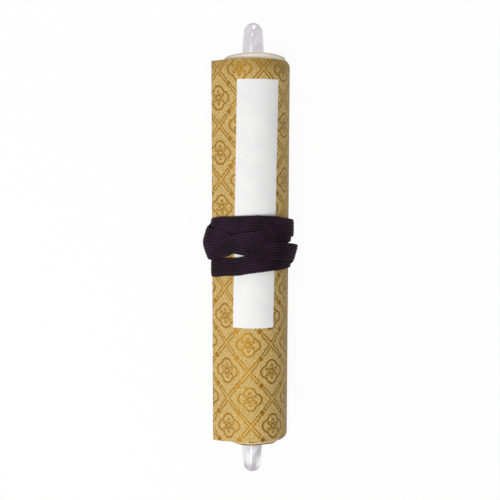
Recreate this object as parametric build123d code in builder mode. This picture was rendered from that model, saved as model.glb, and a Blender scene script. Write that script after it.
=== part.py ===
from build123d import *
from math import acos, atan2, cos, degrees, radians, sin
import os

# A handscroll, rolled and tied with a flat cord, lying on its side along Y with its top end at +Y.
# The floor is z = 0, under the cord. Sizes are in millimetres.
# Azimuths are in degrees round the roll's axis, from straight up towards +X.

# Cover
roll_radius = 26.5
cover_height = 277.0
cover_thickness = 0.9
cover_half_turns = 3
cover_turn_gap = 0.25

# Stave in the hem at the cover's outer edge
stave_radius = 1.8
stave_fit = 0.05
hem_paste = 0.1
hem_seat = 0.2
hem_azimuth = -71.0

# Rod and clear knobs
rod_radius = 8.0
rod_spare = 0.2
rod_drop = 1.7
knob_length = 30.0
knob_straight = 8.5
dome_radius = 6.4
tenon_radius = 3.5
tenon_length = 22.0
tenon_fit = 0.05

# Paper: its outer turns have crept up past the cover's top edge
paper_half_turns = 8
paper_turn_gap = 0.3
paper_seat = 0.15
paper_rise = 4.2

# Title slip pasted on the cover, its foot leaning towards -X
slip_width = 31.0
slip_length = 175.6
slip_thickness = 0.25
slip_paste = 0.05
slip_top = 124.4
slip_arc = 2.3
slip_lean = 1.1

# Flat cord
cord_width = 12.4
cord_thickness = 2.0
cord_seat = 0.1
cord_press = 0.4

# Worked-out places
cover_pitch = cover_thickness + cover_turn_gap
hem_radius = stave_radius + stave_fit + hem_paste + cover_thickness
hem_distance = roll_radius - cover_pitch + hem_seat + hem_radius
cord_clearance = slip_paste + slip_thickness + cord_seat
cord_bed = roll_radius + cord_clearance
hem_bed = hem_radius + cord_clearance
axis_height = cord_bed + cord_thickness - cord_press
cover_top = cover_height / 2
rod_length = cover_height + rod_spare
rod_top = rod_length / 2 - rod_drop
rod_bottom = rod_top - rod_length
roll_axis = Axis((0, 0, axis_height), (0, 1, 0))


def unit(azimuth):
    return Vector(sin(radians(azimuth)), cos(radians(azimuth)))


def section_at(y):
    return Plane(origin=(0, y, axis_height), x_dir=(1, 0, 0), z_dir=(0, -1, 0))


def spiral(radius, pitch, start, half_turns):
    """Half circles on two centres, each smaller than the last; returns the first and last points."""
    step = pitch / 2
    far_center = unit(start + 180) * step
    for turn in range(half_turns):
        center = far_center if turn % 2 else Vector(0, 0)
        radius_here = radius - turn * step
        azimuth = start + 180 * turn
        CenterArc(center, radius_here, 90 - azimuth, -180)
    return unit(start) * radius, center + unit(azimuth + 180) * radius_here


hem_center = unit(hem_azimuth) * hem_distance
flap_lean = degrees(acos((roll_radius - hem_radius) / hem_distance))
flap_azimuth = hem_azimuth + flap_lean
cover_end_azimuth = flap_azimuth + 180 * cover_half_turns

with BuildPart() as brocade_cover:
    with BuildSketch(section_at(cover_top)):
        with BuildLine():
            outer_start, outer_end = spiral(roll_radius, cover_pitch, flap_azimuth, cover_half_turns)
            inner_radius = roll_radius - cover_thickness
            inner_start, inner_end = spiral(inner_radius, cover_pitch, flap_azimuth, cover_half_turns)
            hem_outer = hem_center + unit(flap_azimuth) * hem_radius
            hem_inner = hem_center + unit(flap_azimuth) * (hem_radius - cover_thickness)
            Polyline(outer_start, hem_outer, hem_inner, inner_start)
            Line(outer_end, inner_end)
        make_face()
        with Locations(hem_center):
            Circle(hem_radius)
            Circle(stave_radius + stave_fit, mode=Mode.SUBTRACT)
    extrude(amount=cover_height)

with BuildPart() as cover_stave:
    with BuildSketch(section_at(cover_top)):
        with Locations(hem_center):
            Circle(stave_radius)
    extrude(amount=cover_height)

with BuildPart() as roller_rod:
    with BuildSketch(section_at(rod_top)):
        Circle(rod_radius)
    extrude(amount=rod_length)
    socket_depth = tenon_length + tenon_fit
    for socket_top in (rod_top, rod_bottom + socket_depth):
        with BuildSketch(section_at(socket_top)):
            Circle(tenon_radius + tenon_fit)
        extrude(amount=socket_depth, mode=Mode.SUBTRACT)


def knob_profile():
    """Tenon, straight foot, taper and round tip, drawn along local x from the rod's end."""
    dome_center = knob_length - dome_radius
    run = dome_center - knob_straight
    to_foot = Vector(-run, rod_radius)
    tangent = radians(degrees(atan2(rod_radius, -run)) - degrees(acos(dome_radius / to_foot.length)))
    dome_start = (dome_center + dome_radius * cos(tangent), dome_radius * sin(tangent))
    tip = (knob_length, 0)
    with BuildLine() as outline:
        Polyline(
            tip,
            (-tenon_length, 0),
            (-tenon_length, tenon_radius),
            (0, tenon_radius),
            (0, rod_radius),
            (knob_straight, rod_radius),
            dome_start,
        )
        RadiusArc(dome_start, tip, dome_radius)
    make_face(outline.edges())


with BuildPart() as knob_top:
    with BuildSketch(Plane((0, rod_top, axis_height), x_dir=(0, 1, 0), z_dir=(1, 0, 0))):
        knob_profile()
    revolve(axis=roll_axis)

with BuildPart() as knob_bottom:
    with BuildSketch(Plane((0, rod_bottom, axis_height), x_dir=(0, -1, 0), z_dir=(-1, 0, 0))):
        knob_profile()
    revolve(axis=roll_axis)

# The paper fills the room between the cover's last turn and the rod.
cover_bore = roll_radius - cover_pitch * (cover_half_turns - 1) / 2 - cover_thickness
paper_radius = cover_bore - paper_seat
paper_room = paper_radius + paper_turn_gap - rod_radius - paper_seat
paper_pitch = paper_room / (paper_half_turns / 2 + 1)
paper_thickness = paper_pitch - paper_turn_gap
paper_top = cover_top + paper_rise
creep = (paper_top - rod_top) / (paper_radius - rod_radius)

with BuildPart() as paper_roll:
    with BuildSketch(section_at(paper_top)):
        with BuildLine():
            outer_start, outer_end = spiral(paper_radius, paper_pitch, cover_end_azimuth, paper_half_turns)
            inner_radius = paper_radius - paper_thickness
            inner_start, inner_end = spiral(inner_radius, paper_pitch, cover_end_azimuth, paper_half_turns)
            Line(outer_start, inner_start)
            Line(outer_end, inner_end)
        make_face()
    extrude(amount=cover_height + rod_length)
    with BuildSketch(Plane((0, rod_top, axis_height), x_dir=(0, 1, 0), z_dir=(1, 0, 0))):
        with BuildLine():
            rim = 2 * paper_radius
            rim_rise = creep * (rim - rod_radius)
            core_rise = -creep * rod_radius
            Polyline(
                (core_rise, 0),
                (rim_rise, rim),
                (rim_rise - cover_height, rim),
                (core_rise - cover_height, 0),
                close=True,
            )
        make_face()
    revolve(axis=roll_axis, mode=Mode.INTERSECT)

with BuildPart() as title_slip:
    slip_bed = roll_radius + slip_paste
    with BuildSketch(section_at(slip_top)):
        Circle(slip_bed + slip_thickness)
        Circle(slip_bed, mode=Mode.SUBTRACT)
    extrude(amount=slip_length)
    with BuildSketch(Plane.XY.offset(axis_height)):
        with BuildLine():
            corners = []
            for end in (1, -1):
                for side in (-end, end):
                    arc = slip_arc + side * slip_width / 2 + end * sin(radians(slip_lean)) * slip_length / 2
                    x = slip_bed * sin(arc / slip_bed)
                    y = slip_top - slip_length / 2 + end * slip_length
                    corners.append((x, y))
            Polyline(*corners, close=True)
        make_face()
    extrude(amount=2 * roll_radius, mode=Mode.INTERSECT)


def belt(radius, hem_reach, shift):
    """The outline of a tight loop round the roll, moved by shift along x, and the stave's hem."""
    center = Vector(shift, 0)
    to_hem = hem_center - center
    toward = degrees(atan2(to_hem.X, to_hem.Y))
    lean = degrees(acos((radius - hem_reach) / to_hem.length))
    front = unit(toward + lean)
    back = unit(toward - lean)
    with BuildLine() as outline:
        Line(center + front * radius, hem_center + front * hem_reach)
        CenterArc(hem_center, hem_reach, 90 - toward - lean, 2 * lean)
        Line(hem_center + back * hem_reach, center + back * radius)
        CenterArc(center, radius, 90 - toward + lean, 360 - 2 * lean)
    make_face(outline.edges())


def half_turn(side, places, layers, hem_layers, slack=0.0, share=1.0):
    """One pass of the cord over the front (side 1) or under the back (side -1) of the roll.

    places are its heights along the roll at the left, in the middle and at the right, in cord widths.
    layers and hem_layers say how many cords high it stands over the roll and over the hem, slack moves
    it out to the right by that many cords, and share is how far it runs from left to right.
    """
    left, middle, right = [place * cord_width for place in places]
    rise = (right - left) / 2
    center_y = (left + right) / 2
    bow = side * (middle - center_y)
    tilted = Plane(
        origin=(0, center_y, axis_height),
        x_dir=(cord_bed, rise, 0),
        z_dir=(-rise, cord_bed, -bow),
    )
    outer_radius = cord_bed + layers * cord_thickness
    outer_hem = hem_bed + hem_layers * cord_thickness
    reach = 2 * roll_radius
    with BuildPart() as band:
        with BuildSketch(section_at(cover_top)):
            belt(outer_radius, outer_hem, slack * cord_thickness)
        extrude(amount=cover_height)
        with BuildSketch(tilted):
            with Locations((-reach, 0)):
                Rectangle(2 * reach * share, 2 * reach, align=(Align.MIN, Align.CENTER))
        extrude(amount=cord_width / 2, both=True, mode=Mode.INTERSECT)
        split(bisect_by=Plane.XY.offset(axis_height), keep=Keep.TOP if side > 0 else Keep.BOTTOM)
    return band.part


# The cord leaves the hem at the left, goes under the back, then crosses the front from right to left,
# four times. Its end is tucked in at the back.
winding = [
    half_turn(-1, (0.73, 0.24, -0.16), 1.0, 1.0),
    half_turn(1, (-0.89, -0.27, -0.16), 1.0, 1.0),
    half_turn(-1, (-0.89, -0.6, 0.0), 1.0, 1.0),
    half_turn(1, (1.21, 0.6, 0.0), 1.5, 3.3, slack=0.6),
    half_turn(-1, (1.21, 1.45, 1.25), 1.0, 1.5),
    half_turn(1, (0.18, 1.02, 1.25), 2.0, 2.6),
    half_turn(-1, (0.18, 0.73, 1.49), 1.0, 1.5),
    half_turn(1, (1.53, 1.94, 1.49), 2.4, 1.0),
    half_turn(-1, (1.53, 1.85, 1.69), 1.0, 1.0, share=0.45),
]

# The slices are hollowed out by the tied roll, and pressed flat where they meet the floor.
with BuildPart() as tie_cord:
    add(winding)
    with BuildSketch(section_at(cover_top)):
        belt(cord_bed, hem_bed, 0)
    extrude(amount=cover_height, mode=Mode.SUBTRACT)
    with BuildSketch(Plane.XY):
        Rectangle(4 * roll_radius, cover_height)
    extrude(amount=-roll_radius, mode=Mode.SUBTRACT)

os.makedirs("parts", exist_ok=True)
nodes = {
    "paper_roll": paper_roll,
    "brocade_cover": brocade_cover,
    "cover_stave": cover_stave,
    "roller_rod": roller_rod,
    "knob_top": knob_top,
    "knob_bottom": knob_bottom,
    "title_slip": title_slip,
    "tie_cord": tie_cord,
}
for name, node in nodes.items():
    node.part.label = name
    export_step(node.part, f"parts/{name}.step")
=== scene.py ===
from math import acos, atan, atan2, cos, degrees, pi, radians, sin, sqrt

import bmesh
import bpy
from mathutils import Matrix, Vector


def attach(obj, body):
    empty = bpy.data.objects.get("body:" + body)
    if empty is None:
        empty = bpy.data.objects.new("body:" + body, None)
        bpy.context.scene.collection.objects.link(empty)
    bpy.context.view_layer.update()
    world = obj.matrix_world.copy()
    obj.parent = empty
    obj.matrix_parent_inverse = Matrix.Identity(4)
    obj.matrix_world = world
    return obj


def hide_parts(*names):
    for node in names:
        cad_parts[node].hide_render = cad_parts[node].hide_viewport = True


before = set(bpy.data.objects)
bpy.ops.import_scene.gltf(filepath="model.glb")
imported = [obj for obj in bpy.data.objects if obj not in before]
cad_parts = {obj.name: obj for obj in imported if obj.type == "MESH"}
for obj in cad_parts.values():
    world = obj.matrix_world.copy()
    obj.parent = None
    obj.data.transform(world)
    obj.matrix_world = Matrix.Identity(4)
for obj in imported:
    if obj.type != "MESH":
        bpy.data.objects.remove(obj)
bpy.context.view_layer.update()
print("frame loaded:", sorted(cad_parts))

mm = 0.001
clothUnit = 100.0  # millimetres for one unit of a sheet's own coordinates
sheetSharp = radians(50)  # edges that turn by more than this stay sharp
turnedSharp = radians(40)

# The roll lies along Y. Azimuths go from straight up towards +X, in degrees.
roll = dict(axisHeight=28.5, radius=26.5, rim=138.5)

# In the dictionaries below, a name that ends in Mix holds where a blend starts and ends and, where they
# aren't 0 and 1, its two values. Noises are scale, detail and roughness, and relief is strength and depth.


def around(azimuth, radius):
    a = radians(azimuth)
    return radius * sin(a), radius * cos(a)


def smooth(edge0, edge1, x):
    t = min(max((x - edge0) / (edge1 - edge0), 0.0), 1.0)
    return t * t * (3 - 2 * t)


def srgb(red, green, blue):
    def linear(c):
        c = c / 255
        return c / 12.92 if c <= 0.04045 else ((c + 0.055) / 1.055) ** 2.4
    return linear(red), linear(green), linear(blue), 1.0


# node helpers


def addNode(tree, kind, inputs=None, **settings):
    made = tree.nodes.new(kind)
    for key, value in settings.items():
        setattr(made, key, value)
    for key, value in (inputs or {}).items():
        if isinstance(value, bpy.types.NodeSocket):
            tree.links.new(value, made.inputs[key])
        else:
            made.inputs[key].default_value = value
    return made


def calc(tree, operation, *values):
    return addNode(tree, "ShaderNodeMath", dict(enumerate(values)), operation=operation).outputs[0]


def hypot(tree, a, b):
    return calc(tree, "SQRT", calc(tree, "MULTIPLY_ADD", a, a, calc(tree, "MULTIPLY", b, b)))


def excess(tree, first, second):
    # How much the first value is over the second, or 0.
    return calc(tree, "MAXIMUM", calc(tree, "SUBTRACT", first, second), 0.0)


def lineOf(tree, value, half):
    # Turns the distance to an edge into the distance to a line along it.
    return calc(tree, "SUBTRACT", calc(tree, "ABSOLUTE", value), half)


def ramp(tree, value, start, end, low=0.0, high=1.0, kind="SMOOTHSTEP"):
    limits = {0: value, 1: start, 2: end, 3: low, 4: high}
    return addNode(tree, "ShaderNodeMapRange", limits, interpolation_type=kind).outputs[0]


def vector(tree, x, y, z):
    return addNode(tree, "ShaderNodeCombineXYZ", {0: x, 1: y, 2: z}).outputs[0]


def split(tree, point):
    return addNode(tree, "ShaderNodeSeparateXYZ", {0: point}).outputs


def blendColour(tree, share, first, second):
    return addNode(tree, "ShaderNodeMix", {0: share, 6: first, 7: second}, data_type="RGBA").outputs[2]


def noise(tree, point, scale, detail=2.0, roughness=0.5):
    inputs = {"Vector": point, "Scale": scale, "Detail": detail, "Roughness": roughness}
    return addNode(tree, "ShaderNodeTexNoise", inputs).outputs["Fac"]


def stretched(tree, point, scale):
    return addNode(tree, "ShaderNodeMapping", {"Vector": point, "Scale": scale}).outputs[0]


def attribute(tree, name):
    return addNode(tree, "ShaderNodeAttribute", attribute_name=name).outputs["Fac"]


def clothPoint(tree):
    return addNode(tree, "ShaderNodeUVMap", uv_map="cloth").outputs[0]


def objectPoint(tree):
    return addNode(tree, "ShaderNodeTexCoord").outputs["Object"]


def newMaterial(name, **sockets):
    made = bpy.data.materials.new(name)
    made.use_nodes = True
    shader = made.node_tree.nodes["Principled BSDF"]
    for key, value in sockets.items():
        shader.inputs[key.replace("_", " ")].default_value = value
    return made, made.node_tree, shader


def finishShader(tree, shader, colour, roughness, height, strength, distance):
    bump = addNode(tree, "ShaderNodeBump", {"Height": height, "Strength": strength, "Distance": distance})
    tree.links.new(colour, shader.inputs["Base Color"])
    tree.links.new(roughness, shader.inputs["Roughness"])
    tree.links.new(bump.outputs[0], shader.inputs["Normal"])


# mesh helpers


def addObject(name, data):
    made = bpy.data.objects.new(name, data)
    bpy.context.scene.collection.objects.link(made)
    return made


def sheetMesh(name, columns, rows, thickness, place):
    # A closed sheet: an outer and an inner grid joined round their edges. Places are in millimetres.
    nCol, nRow = len(columns), len(rows)
    points = []
    uvs = []
    for depth in (0.0, thickness):
        for j in range(nRow):
            for i in range(nCol):
                x, y, z = place(depth, i, j)
                points.append((x * mm, y * mm, (z + roll["axisHeight"]) * mm))
                uvs.append((columns[i] / clothUnit, rows[j] / clothUnit))
    count = nCol * nRow

    def at(layer, i, j):
        return layer * count + j * nCol + i

    faces = []
    for j in range(nRow - 1):
        for i in range(nCol - 1):
            faces.append((at(0, i, j), at(0, i + 1, j), at(0, i + 1, j + 1), at(0, i, j + 1)))
            faces.append((at(1, i, j), at(1, i, j + 1), at(1, i + 1, j + 1), at(1, i + 1, j)))
    top = nRow - 1
    for i in range(nCol - 1):
        faces.append((at(0, i, 0), at(1, i, 0), at(1, i + 1, 0), at(0, i + 1, 0)))
        faces.append((at(0, i, top), at(0, i + 1, top), at(1, i + 1, top), at(1, i, top)))
    far = nCol - 1
    for j in range(nRow - 1):
        faces.append((at(0, 0, j), at(0, 0, j + 1), at(1, 0, j + 1), at(1, 0, j)))
        faces.append((at(0, far, j), at(1, far, j), at(1, far, j + 1), at(0, far, j + 1)))
    mesh = bpy.data.meshes.new(name)
    mesh.from_pydata(points, [], faces)
    uvLayer = mesh.uv_layers.new(name="cloth")
    for loop in mesh.loops:
        uvLayer.data[loop.index].uv = uvs[loop.vertex_index]
    lining = mesh.attributes.new("lining", "FLOAT", "POINT")
    lining.data.foreach_set("value", [0.0] * count + [1.0] * count)
    mesh.validate()
    mesh.shade_smooth()
    mesh.set_sharp_from_angle(angle=sheetSharp)
    return mesh


def addPiece(name, mesh, node, material):
    piece = addObject(name, mesh)
    piece.data.materials.clear()
    piece.data.materials.append(material)
    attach(piece, "root")
    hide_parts(node)
    print("piece made:", name, len(mesh.polygons), "faces")
    return piece


# brocade cover

brocade = dict(
    thickness=0.9, turnGap=0.25, halfTurns=3,
    hemAzimuth=-71.0, hemDistance=28.4, hemRadius=2.85, azimuthStart=-145.0,
    # points round the section, and rows along the roll, closer together near both rims
    hemSteps=36, flapSteps=8, turnSteps=60, middleRows=40,
    edgeRows=(0.0, 0.25, 0.7, 1.4, 2.2, 3.1, 4.2, 5.4, 7.0),
    # the soft rim leans in on the side away from the stave, between these azimuths
    turnIn=2.6, turnInTop=5.0, turnInBottom=3.6, turnInCurve=2.2, turnSide=(-10, 75), turnBack=(150, 215),
    # how the cut edges run
    endReach=60, sideRise=1.0, riseSide=(30, 85), frontRise=1.6, sideDrop=2.3, dropSide=(15, 80),
    lip=2.3, lipLeft=(-45, -15), lipRight=(35, 60),
    # the lattice in cells to the millimetre, and how it lies on the roll in cloth units
    latticeS=(0.02983, 0.02629, -2.184), latticeT=(0.02986, -0.02427, 0.552),
    drawn=0.01957, drawnMiddle=0.08, drawnStart=-0.0147, widen=0.97, aside=-0.009,
    flapStart=0.07, flapWiden=0.052, lowStart=0.7, lowWiden=0.0167, highStart=1.0, highWiden=-0.02,
    # the woven figures
    sideLength=25.75, lineSpacing=25.42, cellWidth=16.7, cellHeight=19.6,
    barHalf=1.5, barEdge=0.85, barStart=2.6, barSoft=0.15, square=1.65,
    notch=5.5, lobe=2.8, notchSoft=0.3, frameSlope=0.85, outline=0.6,
    petals=6, petalPlace=3.2, petalWide=0.85, petalLong=1.9, petalLine=0.35, heart=0.3,
    fray=0.75, blossomFray=0.6, figureSoft=0.17,
    # the weave's grain, the ground's two tones and its olive and rosy threads
    grain=(75.0, 2.0, 0.7), frayNoise=(75.0, 2.0), specks=(60.0, 1.0), blotches=(28.0, 2.0),
    ground=srgb(230, 200, 133), groundDeep=srgb(169, 142, 82), groundMix=(0.33, 0.67),
    olive=srgb(183, 165, 107), oliveMix=(0.4, 0.7, 0.0, 0.4),
    rosy=srgb(222, 180, 134), rosyMix=(0.56, 0.7, 0.0, 0.6),
    # the silk of the figures, and the gold inside the bars
    bronze=srgb(106, 69, 1), bronzeLight=srgb(132, 88, 3), silkMix=(0.35, 0.65),
    gold=srgb(202, 166, 90), goldShare=0.6, goldShine=0.4,
    # the upper edge is darkened by painted shade, most at the right
    paintedShade=srgb(120, 92, 34), paintedShadeAcrossMix=(-0.1, 0.2, 0.42, 0.78), paintedShadeAlongMix=(1.25, 1.4),
    # through the thickness: the cut edge, the darker line under it and the lining
    cutEdge=srgb(232, 212, 164), cutEdgeMix=(0.03, 0.1), underEdge=srgb(112, 80, 50),
    underEdgeMix=(0.45, 0.6), lining=srgb(176, 150, 112), liningMix=(0.93, 0.99),
    # gloss falls off at the right side and on the ground between the figures
    glossAcrossMix=(0.25, 0.42, 1.0, 0.35), glossMix=(0.0, 1.0, 0.2, 1.0), roughMix=(0.0, 1.0, 0.74, 0.35),
    threads=90.0, threadSway=0.6, threadHeight=0.15, silkHeight=0.6, grainHeight=0.4, relief=(0.6, 0.0003),
)


def coverSection():
    # Outer points of the cover from the hem's loose end, over the flap and round the roll.
    # Each is (x, z, normal azimuth, arc length, azimuth on the roll); the arc is 0 at the top of the roll.
    b = brocade
    flapAzimuth = b["hemAzimuth"] + degrees(acos((roll["radius"] - b["hemRadius"]) / b["hemDistance"]))
    hemX, hemZ = around(b["hemAzimuth"], b["hemDistance"])
    points = []
    wrap = 360 - degrees(acos((b["hemRadius"] - b["thickness"]) / b["hemRadius"]))
    for k in range(b["hemSteps"]):
        azimuth = flapAzimuth - wrap * (1 - k / b["hemSteps"])
        dx, dz = around(azimuth, b["hemRadius"])
        points.append((hemX + dx, hemZ + dz, azimuth, b["hemAzimuth"]))
    startX, startZ = around(flapAzimuth, b["hemRadius"])
    endX, endZ = around(flapAzimuth, roll["radius"])
    for k in range(b["flapSteps"]):
        t = k / b["flapSteps"]
        x = (hemX + startX) * (1 - t) + endX * t
        z = (hemZ + startZ) * (1 - t) + endZ * t
        points.append((x, z, flapAzimuth, degrees(atan2(x, z))))
    rollStart = len(points)
    step = (b["thickness"] + b["turnGap"]) / 2
    for turn in range(b["halfTurns"]):
        shift = step if turn % 2 else 0.0
        farX, farZ = around(flapAzimuth + 180, shift)
        for k in range(b["turnSteps"] + (turn == b["halfTurns"] - 1)):
            azimuth = flapAzimuth + 180 * (turn + k / b["turnSteps"])
            dx, dz = around(azimuth, roll["radius"] - turn * step)
            onRoll = (azimuth - b["azimuthStart"]) % 360 + b["azimuthStart"]  # counted from the back
            points.append((farX + dx, farZ + dz, azimuth, onRoll))
    arcs = [0.0]
    for a, c in zip(points, points[1:]):
        arcs.append(arcs[-1] + sqrt((c[0] - a[0]) ** 2 + (c[1] - a[1]) ** 2))
    zero = arcs[rollStart] - radians(flapAzimuth) * roll["radius"]
    return [(x, z, lean, arc - zero, azimuth) for (x, z, lean, azimuth), arc in zip(points, arcs)]


def rimTurn(azimuth, y):
    # How far the soft rim leans in near both ends.
    b = brocade
    side = smooth(*b["turnSide"], azimuth) * (1 - smooth(*b["turnBack"], azimuth))
    height = b["turnInTop"] if y > 0 else b["turnInBottom"]
    t = max(0.0, (abs(y) - (roll["rim"] - height)) / height)
    return b["turnIn"] * side * t ** b["turnInCurve"]


def rimShift(azimuth, y, depth):
    # The cut edges don't run quite square to the roll, and the lining shows at the lower front.
    b = brocade
    near = smooth(b["endReach"], roll["rim"], abs(y))
    if y > 0:
        side = smooth(*b["riseSide"], azimuth) * (1 - smooth(*b["turnBack"], azimuth))
        return near * b["sideRise"] * side
    drop = (b["frontRise"] + b["sideDrop"]) * smooth(*b["dropSide"], abs(azimuth))
    shift = near * (b["frontRise"] - drop)
    if y <= -roll["rim"]:
        front = smooth(*b["lipLeft"], azimuth) * (1 - smooth(*b["lipRight"], azimuth))
        shift -= b["lip"] * front * depth / b["thickness"]
    return shift


def makeCoverMesh():
    section = coverSection()
    rim = roll["rim"]
    edge = brocade["edgeRows"]
    span = brocade["middleRows"]
    middle = [-rim + edge[-1] + 2 * (rim - edge[-1]) * k / span for k in range(1, span)]
    rows = [-rim + e for e in edge] + middle + [rim - e for e in reversed(edge)]
    columns = [s[3] for s in section]

    def place(depth, i, j):
        x, z, lean, arc, azimuth = section[i]
        dx, dz = around(lean, depth + rimTurn(azimuth, rows[j]))
        return x - dx, rows[j] + rimShift(azimuth, rows[j], depth), z - dz

    return sheetMesh("brocadeCover", columns, rows, brocade["thickness"], place)


def patternPoint(tree, flat):
    # Where the pattern lies: bowed along the roll, and drawn out or in on the flap and near both ends.
    b = brocade
    fromMiddle = calc(tree, "ADD", flat["Y"], b["drawnMiddle"])
    squared = calc(tree, "MULTIPLY", fromMiddle, fromMiddle)
    bow = calc(tree, "MULTIPLY_ADD", squared, b["drawn"], b["drawnStart"])
    along = calc(tree, "ADD", flat["Y"], bow)
    lowEnd = excess(tree, -b["lowStart"], flat["Y"])
    along = calc(tree, "MULTIPLY_ADD", lowEnd, b["lowWiden"], along)
    highEnd = excess(tree, flat["Y"], b["highStart"])
    along = calc(tree, "MULTIPLY_ADD", highEnd, b["highWiden"], along)
    across = calc(tree, "MULTIPLY_ADD", flat["X"], b["widen"], b["aside"])
    onFlap = excess(tree, -b["flapStart"], flat["X"])
    across = calc(tree, "MULTIPLY_ADD", onFlap, b["flapWiden"], across)
    return vector(tree, across, along, 0.0)


def latticePlace(tree, point, terms):
    # One coordinate of the slanting lattice, from -0.5 to 0.5 across each cell.
    slope = (terms[0] * clothUnit, terms[1] * clothUnit, 0)
    dot = addNode(tree, "ShaderNodeVectorMath", {0: point, 1: slope}, operation="DOT_PRODUCT")
    return calc(tree, "WRAP", calc(tree, "ADD", dot.outputs["Value"], terms[2]), 0.5, -0.5)


def barsAndSquares(tree, s, t):
    # Distances to the lattice's bars and to the squares between their ends.
    b = brocade
    places = [calc(tree, "ABSOLUTE", s), calc(tree, "ABSOLUTE", t)]
    bars = []
    squares = []
    for across, along in (places, places[::-1]):
        off = calc(tree, "MULTIPLY", calc(tree, "SUBTRACT", 0.5, across), b["lineSpacing"])
        run = calc(tree, "MULTIPLY", along, b["sideLength"])
        side = calc(tree, "SUBTRACT", off, b["barHalf"])
        bars.append(calc(tree, "MAXIMUM", side, calc(tree, "SUBTRACT", b["barStart"], run)))
        squares.append(calc(tree, "SUBTRACT", calc(tree, "MAXIMUM", off, run), b["square"]))
    return calc(tree, "MINIMUM", *bars), calc(tree, "MINIMUM", *squares)


def frameAndBlossom(tree, s, t, fray):
    # Distance to the line of the four-lobed frame or to the blossom in it.
    b = brocade
    x = calc(tree, "MULTIPLY", calc(tree, "ADD", s, t), b["cellWidth"])
    y = calc(tree, "MULTIPLY", calc(tree, "SUBTRACT", s, t), b["cellHeight"])
    radius = calc(tree, "ADD", hypot(tree, x, y), 0.001)  # never 0, as it divides
    fourfold = calc(tree, "SUBTRACT", calc(tree, "MULTIPLY", x, x), calc(tree, "MULTIPLY", y, y))
    fourfold = calc(tree, "DIVIDE", fourfold, calc(tree, "MULTIPLY", radius, radius))
    reach = calc(tree, "MULTIPLY_ADD", hypot(tree, fourfold, b["notchSoft"]), b["lobe"], b["notch"])
    frameEdge = calc(tree, "MULTIPLY", calc(tree, "SUBTRACT", radius, reach), b["frameSlope"])
    frameEdge = lineOf(tree, calc(tree, "ADD", frameEdge, fray), b["outline"])
    wedge = pi / b["petals"]
    turn = calc(tree, "WRAP", calc(tree, "ARCTAN2", x, y), wedge, -wedge)
    outward = calc(tree, "MULTIPLY", radius, calc(tree, "COSINE", turn))
    outward = calc(tree, "DIVIDE", calc(tree, "SUBTRACT", outward, b["petalPlace"]), b["petalLong"])
    sideways = calc(tree, "MULTIPLY", radius, calc(tree, "SINE", turn))
    petal = calc(tree, "SUBTRACT", hypot(tree, outward, sideways), b["petalWide"])
    heart = calc(tree, "SUBTRACT", radius, b["heart"])
    blossom = calc(tree, "MINIMUM", lineOf(tree, petal, b["petalLine"]), heart)
    blossom = calc(tree, "ADD", blossom, calc(tree, "MULTIPLY", fray, b["blossomFray"]))
    return calc(tree, "MINIMUM", frameEdge, blossom)


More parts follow.
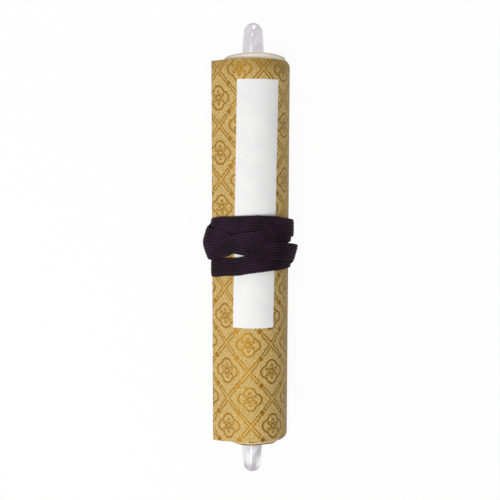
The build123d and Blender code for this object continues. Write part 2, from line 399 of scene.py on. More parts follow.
def makeBrocade():
    b = brocade
    made, tree, shader = newMaterial(
        "wovenBrocade", Specular_Tint=(1.0, 0.53, 0.05, 1),
        Sheen_Weight=0.1, Sheen_Roughness=0.4, Sheen_Tint=(1.0, 0.85, 0.5, 1),
    )
    uv = clothPoint(tree)
    flat = split(tree, uv)
    speckle = noise(tree, uv, *b["grain"])
    specks = noise(tree, uv, *b["specks"])
    blotch = noise(tree, uv, *b["blotches"])
    fray = calc(tree, "MULTIPLY_ADD", noise(tree, uv, *b["frayNoise"]), b["fray"], -b["fray"] / 2)

    # the figures, as distances to their edges
    point = patternPoint(tree, flat)
    s = latticePlace(tree, point, b["latticeS"])
    t = latticePlace(tree, point, b["latticeT"])
    arms, diamonds = barsAndSquares(tree, s, t)
    arms = calc(tree, "ADD", arms, fray)
    half = b["barEdge"] / 2
    armEdge = lineOf(tree, calc(tree, "ADD", arms, half), half)
    figure = calc(tree, "MINIMUM", armEdge, diamonds)
    figure = calc(tree, "MINIMUM", figure, frameAndBlossom(tree, s, t, fray))
    darkShare = ramp(tree, figure, b["figureSoft"], -b["figureSoft"])
    inner = -b["barEdge"]
    lightShare = ramp(tree, arms, inner + b["barSoft"], inner - b["barSoft"], 0.0, b["goldShare"])

    colour = blendColour(tree, ramp(tree, speckle, *b["groundMix"]), b["groundDeep"], b["ground"])
    colour = blendColour(tree, ramp(tree, blotch, *b["oliveMix"]), colour, b["olive"])
    colour = blendColour(tree, ramp(tree, specks, *b["rosyMix"]), colour, b["rosy"])
    colour = blendColour(tree, lightShare, colour, b["gold"])
    silk = blendColour(tree, ramp(tree, speckle, *b["silkMix"]), b["bronze"], b["bronzeLight"])
    colour = blendColour(tree, darkShare, colour, silk)
    # painted shade along the upper edge, strongest at the right
    paintedShade = ramp(tree, flat["X"], *b["paintedShadeAcrossMix"])
    paintedShade = calc(tree, "MULTIPLY", paintedShade, ramp(tree, flat["Y"], *b["paintedShadeAlongMix"]))
    colour = blendColour(tree, paintedShade, colour, b["paintedShade"])
    inside = attribute(tree, "lining")
    colour = blendColour(tree, ramp(tree, inside, *b["cutEdgeMix"]), colour, b["cutEdge"])
    colour = blendColour(tree, ramp(tree, inside, *b["underEdgeMix"]), colour, b["underEdge"])
    colour = blendColour(tree, ramp(tree, inside, *b["liningMix"]), colour, b["lining"])

    shine = calc(tree, "MAXIMUM", darkShare, calc(tree, "MULTIPLY", lightShare, b["goldShine"]))
    waves = {"Vector": uv, "Scale": b["threads"], "Distortion": b["threadSway"]}
    threads = addNode(tree, "ShaderNodeTexWave", waves).outputs["Fac"]
    height = calc(tree, "MULTIPLY", shine, b["silkHeight"])
    height = calc(tree, "MULTIPLY_ADD", threads, b["threadHeight"], height)
    height = calc(tree, "MULTIPLY_ADD", speckle, b["grainHeight"], height)
    gloss = ramp(tree, flat["X"], *b["glossAcrossMix"])
    gloss = calc(tree, "MULTIPLY", gloss, ramp(tree, shine, *b["glossMix"]))
    tree.links.new(gloss, shader.inputs["Specular IOR Level"])
    finishShader(tree, shader, colour, ramp(tree, shine, *b["roughMix"]), height, *b["relief"])
    return made


brocadeCover = addPiece("brocadeCover", makeCoverMesh(), "brocade_cover", makeBrocade())

# title slip

slip = dict(
    width=30.5, length=175.6, top=124.4, arc=2.1, lean=1.1, bed=26.55, thickness=0.25, columns=40, rows=60,
    cornerWide=(0.47, 0.5), cornerLong=(0.485, 0.5), cornerLift=0.15,  # the corners lift a little
    white=srgb(246, 246, 245), whiteDeep=srgb(240, 240, 240), cloud=(6.0, 4.0, 0.6), cloudMix=(0.35, 0.7),
    thread=srgb(230, 229, 227), fibre=(6.0, 3.0, 0.7), fibreStretch=(40, 8, 1),
    fibreMix=(0.55, 0.75, 0.0, 0.3), roughMix=(0.3, 0.7, 0.8, 0.95), relief=(0.15, 0.0001),
)


def makeSlipMesh():
    nCol, nRow = slip["columns"], slip["rows"]
    columns = [slip["width"] * (k / nCol - 0.5) for k in range(nCol + 1)]
    rows = [slip["top"] - slip["length"] * (1 - k / nRow) for k in range(nRow + 1)]
    middle = slip["top"] - slip["length"] / 2

    def place(depth, i, j):
        arc = slip["arc"] + columns[i] + (rows[j] - middle) * sin(radians(slip["lean"]))
        corner = smooth(*slip["cornerWide"], abs(i / nCol - 0.5))
        corner *= smooth(*slip["cornerLong"], abs(j / nRow - 0.5))
        radius = slip["bed"] + slip["thickness"] - depth + slip["cornerLift"] * corner
        x, z = around(degrees(arc / slip["bed"]), radius)
        return x, rows[j], z

    return sheetMesh("titleSlip", columns, rows, slip["thickness"], place)


def makeSlipPaper():
    made, tree, shader = newMaterial("slipPaper", Specular_IOR_Level=0.3)
    uv = clothPoint(tree)
    cloud = noise(tree, uv, *slip["cloud"])
    fibre = noise(tree, stretched(tree, uv, slip["fibreStretch"]), *slip["fibre"])
    colour = blendColour(tree, ramp(tree, cloud, *slip["cloudMix"]), slip["white"], slip["whiteDeep"])
    colour = blendColour(tree, ramp(tree, fibre, *slip["fibreMix"]), colour, slip["thread"])
    finishShader(tree, shader, colour, ramp(tree, fibre, *slip["roughMix"]), fibre, *slip["relief"])
    return made


titleSlip = addPiece("titleSlip", makeSlipMesh(), "title_slip", makeSlipPaper())

# node trees for the wound paper and the braided cord


def lineObject(name, points):
    # A closed line through the points.
    mesh = bpy.data.meshes.new(name)
    edges = [(k, (k + 1) % len(points)) for k in range(len(points))]
    mesh.from_pydata([(x * mm, y * mm, z * mm) for x, y, z in points], edges, [])
    return addObject(name, mesh)


def startTree(name, values):
    # A tree with a named input for each value, an object or a number.
    tree = bpy.data.node_groups.new(name, "GeometryNodeTree")
    tree.interface.new_socket("Geometry", in_out="OUTPUT", socket_type="NodeSocketGeometry")
    for label, value in values.items():
        kind = "NodeSocketObject" if isinstance(value, bpy.types.Object) else "NodeSocketFloat"
        tree.interface.new_socket(label, in_out="INPUT", socket_type=kind)
    return tree, tree.nodes.new("NodeGroupInput").outputs


def endTree(tree, geometry, material):
    whole = addNode(tree, "GeometryNodeRealizeInstances", {0: geometry})
    painted = addNode(tree, "GeometryNodeSetMaterial", {"Geometry": whole.outputs[0], "Material": material})
    tree.links.new(painted.outputs[0], tree.nodes.new("NodeGroupOutput").inputs[0])


def curveFrom(tree, source):
    info = addNode(tree, "GeometryNodeObjectInfo", {"Object": source}, transform_space="RELATIVE")
    return addNode(tree, "GeometryNodeMeshToCurve", {"Mesh": info.outputs["Geometry"]}).outputs[0]


def sweep(tree, curve, profile):
    inputs = {"Curve": curve, "Profile Curve": profile, "Fill Caps": True}
    return addNode(tree, "GeometryNodeCurveToMesh", inputs).outputs[0]


def store(tree, geometry, name, value):
    inputs = {"Geometry": geometry, "Name": name, "Value": value}
    return addNode(tree, "GeometryNodeStoreNamedAttribute", inputs).outputs[0]


def move(tree, geometry, **places):
    # Sets the points' Position, or moves them by an Offset.
    return addNode(tree, "GeometryNodeSetPosition", {"Geometry": geometry, **places}).outputs[0]


def spot(tree):
    # The point's position, split into its parts.
    return split(tree, addNode(tree, "GeometryNodeInputPosition").outputs[0])


def growMesh(name, tree, values, helpers):
    carrier = addObject(name + "Carrier", bpy.data.meshes.new(name + "Carrier"))
    modifier = carrier.modifiers.new("grow", "NODES")
    modifier.node_group = tree
    for item in tree.interface.items_tree:
        if item.in_out == "INPUT":
            modifier[item.identifier] = values[item.name]
    seen = carrier.evaluated_get(bpy.context.evaluated_depsgraph_get())
    mesh = bpy.data.meshes.new_from_object(seen)
    mesh.name = name
    carrier.modifiers.remove(modifier)
    for helper in [carrier] + helpers:
        bpy.data.objects.remove(helper)
    mesh.shade_smooth()
    return mesh


# paper roll, one long sheet wound on the rod

paper = dict(
    innerRadius=8.25, outerRadius=24.2, turns=30.0, turnPoints=64, sheet=0.36, length=277.0,
    rodRadius=8.0, rodTop=137.3, creep=0.4,
    # rows of points: from the lower end, along the roll, and from the upper end
    lowRows=(0.0, 0.5, 1.6), rows=(-60, 60, 120, 127, 130, 132, 133.5, 135), highRows=(2.4, 1.4, 0.5, 0.0),
    # each turn's edge stands a little higher or lower than the next
    unevenness=0.5, waveScale=700.0, waveStretch=0.06,
    # the open end draws in, and a little up and to the right
    shoulder=2.7, sideways=1.2, lift=1.6, leanRows=(118.0, 145.0),
    # the last turns stand lower, and so does the open end at both sides
    fall=1.6, fallTurns=(0.93, 1.0), sideFall=1.2,
    cream=srgb(250, 246, 234), creamDeep=srgb(246, 240, 222), cloud=(60.0, 3.0), cloudMix=(0.35, 0.7),
    # the outermost edge at both ends gets a pinkish-brown painted shade, over these millimetres and this
    # share of the radius
    edge=srgb(200, 166, 150), edgeRows=(0.8, 0.2), edgeTurns=(0.94, 0.98), edgeShadeMix=(0.3, 0.9, 0.0, 0.9),
    fine=(900.0, 2.0), roughMix=(0.3, 0.7, 0.75, 0.95), relief=(0.2, 0.0001),
)


def paperTree(material, values):
    tree, given = startTree("paperRollTree", values)
    spiral = addNode(tree, "GeometryNodeCurveSpiral", {
        "Resolution": paper["turnPoints"], "Rotations": given["Turns"], "Height": 0.0,
        "Start Radius": given["Inner Radius"], "End Radius": given["Outer Radius"],
    }).outputs[0]
    upright = addNode(tree, "GeometryNodeSetCurveNormal", {"Curve": spiral}, mode="Z_UP").outputs[0]
    wound = sweep(tree, upright, curveFrom(tree, given["Strip"]))
    x, y, z = spot(tree)
    half = calc(tree, "MULTIPLY", given["Length"], 0.5)
    fromEnd = calc(tree, "SUBTRACT", half, calc(tree, "ABSOLUTE", z))
    radius = hypot(tree, x, y)
    outer = calc(tree, "DIVIDE", radius, given["Outer Radius"])
    # painted shade on the outermost turns near both ends, kept in the edge attribute
    paintedShade = ramp(tree, fromEnd, *(row * mm for row in paper["edgeRows"]))
    paintedShade = calc(tree, "MULTIPLY", paintedShade, ramp(tree, outer, *paper["edgeTurns"]))
    marked = store(tree, wound, "edge", paintedShade)

    # how high each point stands
    depth = calc(tree, "SUBTRACT", radius, given["Rod Radius"])
    waveX = calc(tree, "MULTIPLY", x, paper["waveStretch"])
    waveY = calc(tree, "MULTIPLY", y, paper["waveStretch"])
    wave = noise(tree, vector(tree, radius, waveX, waveY), paper["waveScale"], 1.0)
    rough = calc(tree, "MULTIPLY", calc(tree, "SUBTRACT", wave, 0.5), given["Unevenness"])
    rise = calc(tree, "MULTIPLY_ADD", depth, given["Creep"], calc(tree, "ADD", given["Rod Top"], rough))
    sunk = calc(tree, "MULTIPLY", ramp(tree, outer, *paper["fallTurns"]), given["Fall"])
    aslant = calc(tree, "DIVIDE", x, radius)
    aslant = calc(tree, "MULTIPLY", calc(tree, "MULTIPLY", aslant, aslant), given["Side Fall"])
    sunk = calc(tree, "MULTIPLY_ADD", aslant, ramp(tree, z, 0.0, half), sunk)
    along = calc(tree, "ADD", z, calc(tree, "SUBTRACT", calc(tree, "SUBTRACT", rise, sunk), half))

    # how far the open end draws in, most in the outer turns
    share = calc(tree, "SUBTRACT", given["Outer Radius"], given["Rod Radius"])
    share = calc(tree, "DIVIDE", depth, share)
    lean = calc(tree, "MULTIPLY", ramp(tree, along, *(row * mm for row in paper["leanRows"])), share)
    inward = calc(tree, "MULTIPLY", lean, given["Shoulder"])
    scale = calc(tree, "DIVIDE", calc(tree, "SUBTRACT", radius, inward), radius)
    aside = calc(tree, "MULTIPLY", lean, given["Sideways"])
    level = calc(tree, "MULTIPLY_ADD", lean, given["Lift"], given["Axis Height"])
    placedX = calc(tree, "MULTIPLY_ADD", x, scale, aside)
    placedZ = calc(tree, "MULTIPLY_ADD", y, scale, level)
    moved = move(tree, marked, Position=vector(tree, placedX, along, placedZ))
    turned = addNode(tree, "GeometryNodeFlipFaces", {0: moved}).outputs[0]
    endTree(tree, turned, material)
    return tree


def makePaper():
    made, tree, shader = newMaterial("creamPaper", Specular_IOR_Level=0.25)
    point = objectPoint(tree)
    cloud = noise(tree, point, *paper["cloud"])
    fine = noise(tree, point, *paper["fine"])
    colour = blendColour(tree, ramp(tree, cloud, *paper["cloudMix"]), paper["cream"], paper["creamDeep"])
    # painted shade along the outermost edge
    paintedShade = ramp(tree, attribute(tree, "edge"), *paper["edgeShadeMix"])
    colour = blendColour(tree, paintedShade, colour, paper["edge"])
    finishShader(tree, shader, colour, ramp(tree, fine, *paper["roughMix"]), fine, *paper["relief"])
    return made


def makePaperMesh(material):
    half = paper["length"] / 2
    heights = [-half + row for row in paper["lowRows"]]
    heights += paper["rows"]
    heights += [half - row for row in paper["highRows"]]
    side = paper["sheet"] / 2
    ring = [(side, h, 0) for h in heights] + [(-side, h, 0) for h in reversed(heights)]
    strip = lineObject("paperStrip", ring)
    values = {
        "Strip": strip, "Turns": paper["turns"], "Length": paper["length"] * mm,
        "Inner Radius": paper["innerRadius"] * mm, "Outer Radius": paper["outerRadius"] * mm,
        "Rod Radius": paper["rodRadius"] * mm, "Rod Top": paper["rodTop"] * mm,
        "Creep": paper["creep"], "Unevenness": paper["unevenness"] * mm,
        "Shoulder": paper["shoulder"] * mm, "Side Fall": paper["sideFall"] * mm,
        "Sideways": paper["sideways"] * mm, "Lift": paper["lift"] * mm, "Fall": paper["fall"] * mm,
        "Axis Height": roll["axisHeight"] * mm,
    }
    mesh = growMesh("paperRoll", paperTree(material, values), values, [strip])
    mesh.set_sharp_from_angle(angle=turnedSharp)
    return mesh


creamPaper = makePaper()
paperRoll = addPiece("paperRoll", makePaperMesh(creamPaper), "paper_roll", creamPaper)

# tie cord, a flat braid wound four times round the middle and tucked in at the back

cord = dict(
    width=12.9, thickness=2.0, bed=26.9, hemReach=31.6, flapAzimuths=(-37.4, -104.6),
    ribs=7, ribDepth=0.5, ribPoints=6, grooveCurve=3, edgeCurve=3.5, edgeLeast=0.25,
    step=12.0, lineSteps=8, spacing=0.9, floor=0.02, lastPart=0.36,
    unevenness=0.35, swayScale=50.0, swayGain=4.0,  # the line isn't quite even
    ribTop=srgb(46, 26, 43), ribShade=srgb(20, 9, 19), tone=(90.0, 2.0), toneMix=(0.35, 0.7),
    stitch=1.4, stitchSlant=1.6, stitchTop=srgb(66, 45, 62), stitchMix=(0.2, 0.5, 0.0, 0.6),
    # the groove colour is painted shade between the ribs
    stitchHeight=1.2, groove=srgb(12, 6, 11), grooveShadeMix=(0.24, 0.46),
    fuzz=(1500.0, 3.0), fuzzHeight=0.3, roughMix=(0.3, 0.7, 0.6, 0.85), relief=(0.7, 0.0003),
)
# Each half turn: side (1 front, -1 back), heights along the roll at seven places from left to right,
# and how many cords high it lies at five places from left to right.
windings = [
    (-1, (9.0, 6.8, 3.2, 0.0, -2.8, -3.8, -3.8), (0.8, 1.0, 1.0, 1.0, 1.0)),
    (1, (-10.8, -8.9, -7.0, -4.5, -3.1, -3.0, -3.8), (1.0, 1.0, 1.0, 1.0, 1.0)),
    (-1, (-10.8, -13.0, -13.6, -12.5, -8.8, -4.4, -0.6), (1.0, 1.0, 1.0, 1.6, 2.7)),
    (1, (15.0, 13.2, 9.8, 7.2, 4.7, 3.6, -0.6), (3.7, 1.8, 1.3, 2.1, 2.9)),
    (-1, (15.0, 19.4, 22.6, 24.0, 22.8, 19.6, 15.2), (3.6, 2.0, 1.0, 1.0, 1.0)),
    (1, (1.6, 2.8, 9.6, 12.7, 15.2, 16.0, 15.2), (3.4, 2.5, 2.2, 1.3, 1.0)),
    (-1, (1.6, 4.2, 7.8, 12.0, 15.8, 17.8, 18.5), (3.3, 1.6, 1.0, 1.4, 2.0)),
    (1, (19.0, 21.4, 23.1, 23.8, 23.1, 21.2, 18.5), (1.0, 1.0, 1.1, 1.7, 2.0)),
    (-1, (19.0, 20.8, 22.2, 23.0, 23.0, 22.4, 21.0), (1.0, 1.0, 1.0, 1.0, 1.0)),
]
# where the braid leans over on its edge: half turns from the start, degrees, reach in half turns
leans = [(3.0, -16.0, 0.4), (4.0, 17.0, 0.4), (6.0, -20.0, 0.4)]


def bedRadius(azimuth):
    # The cord's bed goes straight from the roll to the hem and back to the roll.
    front, back = cord["flapAzimuths"]
    reach = cord["bed"]
    if back < azimuth < front:
        toFront = cord["bed"] / cos(radians(azimuth - front))
        toBack = cord["bed"] / cos(radians(azimuth - back))
        reach = min(toFront, toBack, cord["hemReach"])
    return reach


def between(values, share):
    # The two values on either side of a share of the way along, and how far it is from one to the other.
    last = len(values) - 1
    k = min(int(share * last), last - 1)
    return values[k], values[k + 1], share * last - k


def cordRoute():
    points = []
    steps = int(180 / cord["step"])
    for number, (side, heights, layers) in enumerate(windings):
        last = steps if number < len(windings) - 1 else int(steps * cord["lastPart"])
        for k in range(last):
            share = k / steps
            azimuth = -90 - 180 * share if side < 0 else 90 - 180 * share
            across = share if side < 0 else 1 - share
            left, right, t = between(heights, across)
            y = left * (1 - t) + right * t
            left, right, t = between(layers, across)
            t = smooth(0.0, 1.0, t)
            layer = left * (1 - t) + right * t
            radius = bedRadius((azimuth + 180) % 360 - 180) + (layer - 0.5) * cord["thickness"]
            x, z = around(azimuth, radius)
            points.append((x, y, z + roll["axisHeight"]))
    return points


def cordLine():
    data = bpy.data.curves.new("cordRoute", "CURVE")
    data.dimensions = "3D"
    data.resolution_u = cord["lineSteps"]
    route = cordRoute()
    spline = data.splines.new("NURBS")
    spline.points.add(len(route) - 1)
    for point, (x, y, z) in zip(spline.points, route):
        point.co = (x * mm, y * mm, z * mm, 1.0)
    spline.order_u = 3
    spline.use_endpoint_u = True
    curve = addObject("cordRoute", data)
    mesh = bpy.data.meshes.new_from_object(curve.evaluated_get(bpy.context.evaluated_depsgraph_get()))
    bpy.data.objects.remove(curve)
    # how far the braid leans over at each point of the line
    lean = mesh.attributes.new("lean", "FLOAT", "POINT")
    passed = 0.0
    before = -pi / 2
    for vertex in mesh.vertices:
        azimuth = atan2(vertex.co.x, vertex.co.z - roll["axisHeight"] * mm)
        passed += ((before - azimuth + pi) % (2 * pi) - pi) / pi
        before = azimuth
        tilt = sum(angle * smooth(reach, 0.0, abs(passed - place)) for place, angle, reach in leans)
        lean.data[vertex.index].value = radians(tilt)
    return addObject("cordLine", mesh)


def cordProfile():
    # Across the cord: rounded ribs on both faces. x is the thickness and y the width.
    half = cord["width"] / 2
    perSide = cord["ribs"] * cord["ribPoints"]
    ring = []
    for face in (1, -1):
        for k in range(perSide + 1):
            w = -1 + 2 * k / perSide
            groove = abs(cos(pi * cord["ribs"] * (w + 1) / 2))
            body = 0.0
            if abs(w) < 1:
                body = max(sqrt(1 - abs(w) ** cord["edgeCurve"]), cord["edgeLeast"])
            high = (cord["thickness"] / 2 - cord["ribDepth"] * groove ** cord["grooveCurve"]) * body
            if 0 < k < perSide or face > 0:
                ring.append((face * high, face * w * half, 0))
    return ring


def cordTree(material, values):
    tree, given = startTree("tieCordTree", values)
    route = curveFrom(tree, given["Route"])
    spaced = {"Curve": route, "Length": given["Spacing"]}
    route = addNode(tree, "GeometryNodeResampleCurve", spaced, mode="LENGTH").outputs[0]
    far = addNode(tree, "GeometryNodeSplineParameter").outputs["Length"]
    waves = {"W": far, "Scale": cord["swayScale"]}
    sway = addNode(tree, "ShaderNodeTexNoise", waves, noise_dimensions="1D").outputs[0]
    sway = calc(tree, "MULTIPLY", calc(tree, "SUBTRACT", sway, 0.5), given["Unevenness"])
    sway = calc(tree, "MULTIPLY", sway, cord["swayGain"])
    swayed = move(tree, route, Offset=vector(tree, 0.0, sway, 0.0))
    tangent = addNode(tree, "GeometryNodeInputTangent").outputs[0]
    crossed = {0: (0, 1, 0), 1: tangent}
    outward = addNode(tree, "ShaderNodeVectorMath", crossed, operation="CROSS_PRODUCT").outputs[0]
    outward = addNode(tree, "ShaderNodeVectorMath", {0: outward}, operation="NORMALIZE").outputs[0]
    facing = {"Curve": swayed, "Normal": outward}
    laid = addNode(tree, "GeometryNodeSetCurveNormal", facing, mode="FREE").outputs[0]
    lean = addNode(tree, "GeometryNodeInputNamedAttribute", {"Name": "lean"}, data_type="FLOAT").outputs[0]
    leaning = addNode(tree, "GeometryNodeSetCurveTilt", {"Curve": laid, "Tilt": lean}).outputs[0]
    measured = store(tree, leaning, "along", far)
    profile = store(tree, curveFrom(tree, given["Profile"]), "across", spot(tree)["Y"])
    swept = sweep(tree, measured, profile)
    x, y, z = spot(tree)
    pressed = vector(tree, x, y, calc(tree, "MAXIMUM", z, given["Floor"]))
    endTree(tree, move(tree, swept, Position=pressed), material)
    return tree


def makeBraid():
    made, tree, shader = newMaterial("darkBraid", Specular_IOR_Level=0.06)
    rib = calc(tree, "MULTIPLY", attribute(tree, "across"), cord["ribs"] / (cord["width"] * mm))
    fromTop = calc(tree, "ABSOLUTE", calc(tree, "WRAP", rib, 0.5, -0.5))
    steps = calc(tree, "MULTIPLY", attribute(tree, "along"), 1.0 / (cord["stitch"] * mm))
    slant = calc(tree, "MULTIPLY_ADD", fromTop, cord["stitchSlant"], steps)
    stitch = calc(tree, "ABSOLUTE", calc(tree, "WRAP", slant, 0.5, -0.5))
    point = objectPoint(tree)
    fuzz = noise(tree, point, *cord["fuzz"])
    tone = noise(tree, point, *cord["tone"])
    colour = blendColour(tree, ramp(tree, tone, *cord["toneMix"]), cord["ribShade"], cord["ribTop"])
    colour = blendColour(tree, ramp(tree, stitch, *cord["stitchMix"]), colour, cord["stitchTop"])
    # painted shade in the grooves between the ribs
    colour = blendColour(tree, ramp(tree, fromTop, *cord["grooveShadeMix"]), colour, cord["groove"])
    height = calc(tree, "MULTIPLY", stitch, cord["stitchHeight"])
    height = calc(tree, "MULTIPLY_ADD", fuzz, cord["fuzzHeight"], height)
    finishShader(tree, shader, colour, ramp(tree, fuzz, *cord["roughMix"]), height, *cord["relief"])
    return made


def makeCordMesh(material):
    line = cordLine()
    profile = lineObject("cordProfile", cordProfile())
    values = {
        "Route": line, "Profile": profile, "Spacing": cord["spacing"] * mm,
        "Floor": cord["floor"] * mm, "Unevenness": cord["unevenness"] * mm,
    }
    return growMesh("tieCord", cordTree(material, values), values, [line, profile])


darkBraid = makeBraid()
tieCord = addPiece("tieCord", makeCordMesh(darkBraid), "tie_cord", darkBraid)

# knobs, clear and a little hazy, with painted grey shade and streaks for the surroundings seen through them

knob = dict(
    radius=8.15, neck=23.3, taper=0.175, curve=1.6, footRound=0.25, footMiddle=0.08,
    tenon=3.5, tenonLength=22.0, rodTop=136.9, rodBottom=-140.3,
    neckSteps=27, domeSteps=24, turnSteps=128, weld=1e-6,
    # painted shade: greys of the clear parts and of the streaks, which stand in for the surroundings seen
    # through the knobs, and the streaks' scales
    topPaintedGreys=((0.71, 0.7, 0.725, 1), (0.57, 0.55, 0.59, 1)), topStreaks=260.0,
    bottomPaintedGreys=((0.96, 0.955, 0.965, 1), (0.26, 0.245, 0.275, 1)), bottomStreaks=150.0,
    streakStretch=(1.0, 0.3, 1.0), streakMix=(0.35, 0.65), roughMix=(0.4, 0.7, 0.0, 0.03),
    # the tip is painted darker: painted shade for the dark outline round the dome
    tip=(0.46, 0.45, 0.46, 1), tipRows=(1.8, 0.2), relief=(0.004, 0.0002),
)


def knobProfile():
    k = knob
    points = [(-k["tenonLength"], 0.0), (-k["tenonLength"], k["tenon"]), (0.0, k["tenon"])]
    points += [(0.0, k["radius"] - k["footRound"]), (k["footMiddle"], k["radius"] - k["footMiddle"])]
    for i in range(k["neckSteps"] + 1):
        h = k["footRound"] + (k["neck"] - k["footRound"]) * i / k["neckSteps"]
        points.append((h, k["radius"] * (1 - k["taper"] * (h / k["neck"]) ** k["curve"])))
    start = atan(k["radius"] * k["taper"] * k["curve"] / k["neck"])
    dome = points[-1][1] / cos(start)
    centre = k["neck"] - dome * sin(start)
    for i in range(1, k["domeSteps"]):
        a = start + (pi / 2 - start) * i / k["domeSteps"]
        points.append((centre + dome * sin(a), dome * cos(a)))
    return points + [(centre + dome, 0.0)]


def makeKnobMesh(name, foot, direction):
    built = bmesh.new()
    line = [built.verts.new((r * mm, 0.0, h * mm)) for h, r in knobProfile()]
    edges = [built.edges.new(pair) for pair in zip(line, line[1:])]
    bmesh.ops.spin(
        built, geom=line + edges, cent=(0, 0, 0), axis=(0, 0, 1), angle=2 * pi, steps=knob["turnSteps"],
    )
    bmesh.ops.remove_doubles(built, verts=built.verts, dist=knob["weld"])
    place = Matrix.Translation((0, foot * mm, roll["axisHeight"] * mm))
    place = place @ Matrix.Rotation(-direction * pi / 2, 4, "X")
    bmesh.ops.transform(built, matrix=place, verts=built.verts)
    bmesh.ops.recalc_face_normals(built, faces=built.faces)
    mesh = bpy.data.meshes.new(name)
    built.to_mesh(mesh)
    built.free()
    mesh.shade_smooth()
    mesh.set_sharp_from_angle(angle=turnedSharp)
    return mesh


def makeClearKnob(name, paintedGreys, streaks):
    made, tree, shader = newMaterial(name, Transmission_Weight=1.0, IOR=1.49)
    point = objectPoint(tree)
    streak = noise(tree, stretched(tree, point, knob["streakStretch"]), streaks)
    height = split(tree, point)["Y"]
    length = knobProfile()[-1][0]
    fromTop = calc(tree, "SUBTRACT", (knob["rodTop"] + length) * mm, height)
    fromBottom = calc(tree, "SUBTRACT", height, (knob["rodBottom"] - length) * mm)
    fromTip = calc(tree, "MINIMUM", fromTop, fromBottom)
    # painted shade: grey streaks in the clear body
    colour = blendColour(tree, ramp(tree, streak, *knob["streakMix"]), paintedGreys[1], paintedGreys[0])
    # painted shade darkens the tip
    tipShadeShare = ramp(tree, fromTip, *(row * mm for row in knob["tipRows"]))
    colour = blendColour(tree, tipShadeShare, colour, knob["tip"])
    finishShader(tree, shader, colour, ramp(tree, streak, *knob["roughMix"]), streak, *knob["relief"])
    return made


# the top and bottom knobs are one acrylic with different painted greys
topAcrylic = makeClearKnob("topAcrylic", knob["topPaintedGreys"], knob["topStreaks"])
bottomAcrylic = makeClearKnob("bottomAcrylic", knob["bottomPaintedGreys"], knob["bottomStreaks"])
topMesh = makeKnobMesh("knobTop", knob["rodTop"], 1)
bottomMesh = makeKnobMesh("knobBottom", knob["rodBottom"], -1)
knobTop = addPiece("knobTop", topMesh, "knob_top", topAcrylic)
knobBottom = addPiece("knobBottom", bottomMesh, "knob_bottom", bottomAcrylic)

# rod and stave keep their CAD shapes and get plain wood

wood = dict(
    rodTones=(srgb(196, 158, 108), srgb(160, 118, 72)),
    staveTones=(srgb(180, 140, 92), srgb(140, 102, 62)),
    grain=(900.0, 4.0, 0.6), grainStretch=(1.0, 0.05, 1.0), grainMix=(0.35, 0.65),
    pores=(2600.0, 2.0), poreStretch=(1.0, 0.03, 1.0), poreMix=(0.6, 0.75, 0.0, 0.5),
    roughMix=(0.3, 0.7, 0.55, 0.75), relief=(0.3, 0.0001),
)


def makeWood(name, pale, deep):
    made, tree, shader = newMaterial(name, Specular_IOR_Level=0.3)
    point = objectPoint(tree)
    grain = noise(tree, stretched(tree, point, wood["grainStretch"]), *wood["grain"])
    pores = noise(tree, stretched(tree, point, wood["poreStretch"]), *wood["pores"])
    colour = blendColour(tree, ramp(tree, grain, *wood["grainMix"]), pale, deep)
    colour = blendColour(tree, ramp(tree, pores, *wood["poreMix"]), colour, deep)
    finishShader(tree, shader, colour, ramp(tree, grain, *wood["roughMix"]), pores, *wood["relief"])
    return made


rodWood = makeWood("rodWood", *wood["rodTones"])
staveWood = makeWood("staveWood", *wood["staveTones"])
for node, material in (("roller_rod", rodWood), ("cover_stave", staveWood)):
    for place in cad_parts[node].material_slots:
        place.material = material
print("wood set")

# floor, light and camera

stage = dict(
    lens=52.3, sensor=36.0, clipStart=0.01, tilt=7.08, spin=0.113, distance=541.3, aimX=-1.99, aimY=2.33,
    worldLight=0.29, floorHalf=4, floorGrey=(0.6, 0.6, 0.6, 1), floorGlow=1.03, glowShare=0.92,
)
white = (1, 1, 1, 1)
rollMiddle = (0, 0, 0.03)
topKnob = (0, 0.16, 0.03)
lamps = [  # name, place, aim, size, power, lights matt surfaces
    ("keyLamp", (-0.8, -0.25, 0.85), rollMiddle, (0.6, 0.6), 4.85, True),
    ("stripLamp", (-0.17, -0.52, 1.06), rollMiddle, (0.35, 0.85), 5.3, True),
    ("endLamp", (0.1, 0.95, 0.2), topKnob, (0.5, 0.5), 4.8, True),
    ("knobSpark", (0.16, 0.93, 0.68), topKnob, (0.3, 0.3), 6.0, False),
    ("neckSpark", (-0.2, 0.495, 0.96), (-0.2, 0.16, 0.03), (0.22, 0.012), 0.8, False),
    ("silkGlow", (-0.6, -0.1, 0.92), rollMiddle, (1.1, 1.2), 16.0, False),
]


def seenRays(tree):
    # 1 for rays from the camera, off glossy surfaces and through clear ones.
    path = addNode(tree, "ShaderNodeLightPath").outputs
    through = calc(tree, "MAXIMUM", path["Is Glossy Ray"], path["Is Transmission Ray"])
    return calc(tree, "MAXIMUM", path["Is Camera Ray"], through)


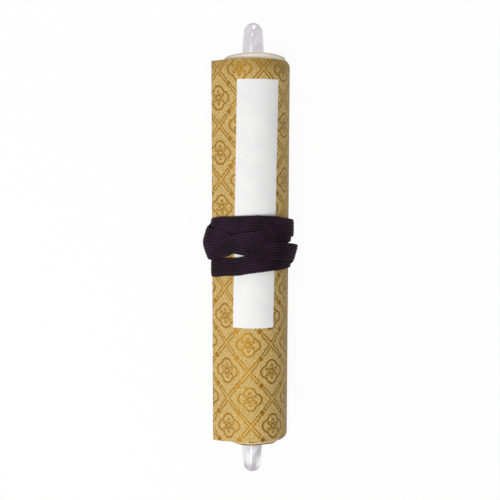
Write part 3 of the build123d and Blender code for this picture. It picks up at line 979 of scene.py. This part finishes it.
def makeFloor():
    far = stage["floorHalf"]
    mesh = bpy.data.meshes.new("floor")
    mesh.from_pydata([(-far, -far, 0), (far, -far, 0), (far, far, 0), (-far, far, 0)], [], [(0, 1, 2, 3)])
    floor = addObject("floor", mesh)
    made, tree, shader = newMaterial(
        "floorPaint", Base_Color=stage["floorGrey"], Roughness=1.0, Specular_IOR_Level=0.0,
    )
    glow = addNode(tree, "ShaderNodeEmission", {"Color": white, "Strength": stage["floorGlow"]})
    share = calc(tree, "MULTIPLY", seenRays(tree), stage["glowShare"])
    mixed = addNode(tree, "ShaderNodeMixShader", {0: share, 1: shader.outputs[0], 2: glow.outputs[0]})
    tree.links.new(mixed.outputs[0], tree.nodes["Material Output"].inputs["Surface"])
    floor.data.materials.append(made)


def addLamp(name, place, aim, size, power, matt):
    data = bpy.data.lights.new(name, "AREA")
    data.shape = "RECTANGLE"
    data.size, data.size_y = size
    data.energy = power
    lamp = addObject(name, data)
    lamp.visible_diffuse = matt
    lamp.visible_transmission = False  # not seen through the clear knobs
    lamp.location = place
    lamp.rotation_euler = (Vector(aim) - Vector(place)).to_track_quat("-Z", "Y").to_euler()


def makeCamera():
    data = bpy.data.cameras.new("camera")
    data.lens = stage["lens"]
    data.sensor_width = stage["sensor"]
    data.clip_start = stage["clipStart"]
    camera = addObject("camera", data)
    tilt = radians(stage["tilt"])
    x = stage["aimX"]
    y = stage["aimY"] + stage["distance"] * sin(tilt)
    z = roll["axisHeight"] + stage["distance"] * cos(tilt)
    turn = Matrix.Rotation(-tilt, 4, "X") @ Matrix.Rotation(radians(stage["spin"]), 4, "Z")
    camera.location = (x * mm, y * mm, z * mm)
    camera.rotation_euler = turn.to_euler()
    bpy.context.scene.camera = camera


def makeWorld():
    world = bpy.data.worlds.new("studio")
    world.use_nodes = True
    tree = world.node_tree
    back = tree.nodes["Background"]
    back.inputs["Color"].default_value = white
    strength = ramp(tree, seenRays(tree), 0.0, 1.0, stage["worldLight"], 1.0, "LINEAR")
    tree.links.new(strength, back.inputs["Strength"])
    bpy.context.scene.world = world


makeFloor()
makeWorld()
makeCamera()
for lamp in lamps:
    addLamp(*lamp)
bpy.context.scene.view_settings.view_transform = "Standard"
print("stage done")
